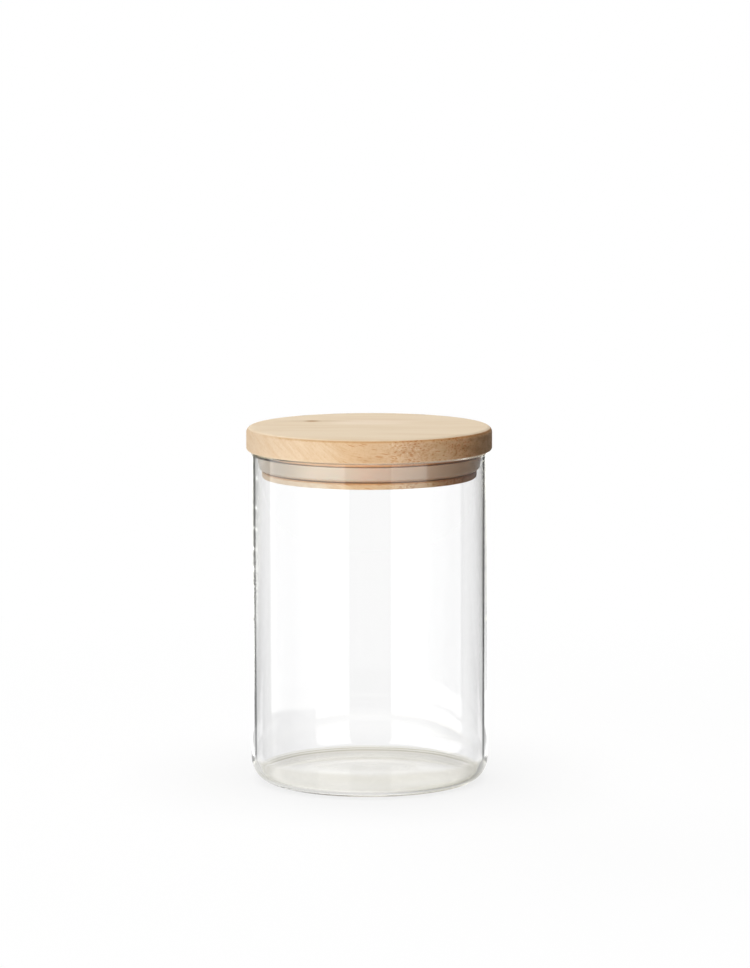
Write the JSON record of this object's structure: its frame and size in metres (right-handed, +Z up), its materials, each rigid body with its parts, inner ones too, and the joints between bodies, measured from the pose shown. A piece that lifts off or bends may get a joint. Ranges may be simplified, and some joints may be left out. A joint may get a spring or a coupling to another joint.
{
  "type": "lidded jar",
  "caption": "Straight-sided clear glass storage jar with a rounded base, closed by a turned wooden plug lid that seals on a soft translucent ring.",
  "frame": {"origin": "centre of the ring that the jar stands on, in the plane of the surface it stands on", "axes": "+Z up along the jar's own axis, through the middle of the mouth and lid; +X to the right and -Y towards a viewer who faces the jar; the shape is the same all round"},
  "size_m": [0.098, 0.098, 0.1425],
  "materials": {
    "clear_glass": "fire-polished clear borosilicate glass",
    "pale_wood": "pale straight-grained hardwood with short brown pores, turned and lightly oiled, satin",
    "silicone": "translucent milky silicone, satin"
  },
  "bodies": {
    "jar": {"glass_jar": "clear_glass"},
    "seal": {"silicone_seal": "silicone"},
    "lid": {"wood_lid": "pale_wood"}
  },
  "joints": [
    {"name": "lid_lift", "type": "slide", "parent": "jar", "child": "seal", "axis": [0, 0, 1], "range_m": [0, 0.12]},
    {"name": "lid_turn", "type": "hinge", "parent": "seal", "child": "lid", "pos_m": [0, 0, 0.133], "axis": [0, 0, 1], "continuous": true}
  ]
}
